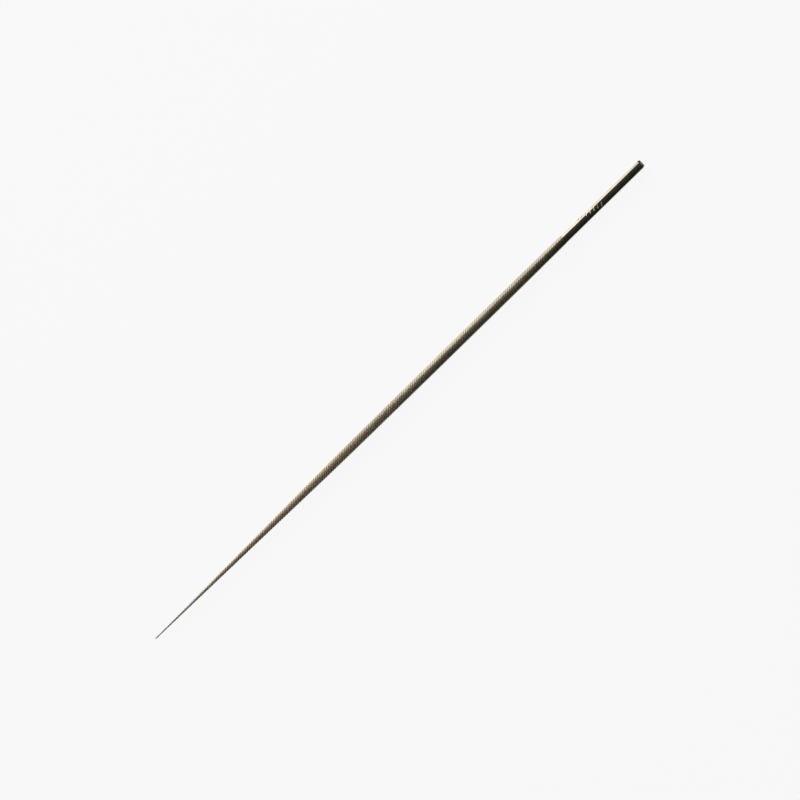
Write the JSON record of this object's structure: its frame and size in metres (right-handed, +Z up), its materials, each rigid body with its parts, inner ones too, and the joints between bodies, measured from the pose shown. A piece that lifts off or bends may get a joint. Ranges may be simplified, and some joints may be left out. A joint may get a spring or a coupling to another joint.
{
  "type": "endodontic file",
  "caption": "Slender round hand file: a long toothed steel working part, straight behind and tapering to a fine blunt point, pressed into a short plain marked shank with a bevelled butt.",
  "frame": {"origin": "centre of the flat butt face", "axes": "+X along the file from the butt to the point, +Z up with the file lying down, struck mark on the upper side"},
  "size_m": [0.14, 0.002, 0.002],
  "materials": {
    "cut_steel": "satin, cut all over with fine slanting teeth",
    "ground_steel": "ground and polished"
  },
  "bodies": {
    "root": {"working_part": "cut_steel", "shank": "ground_steel"}
  },
  "joints": []
}
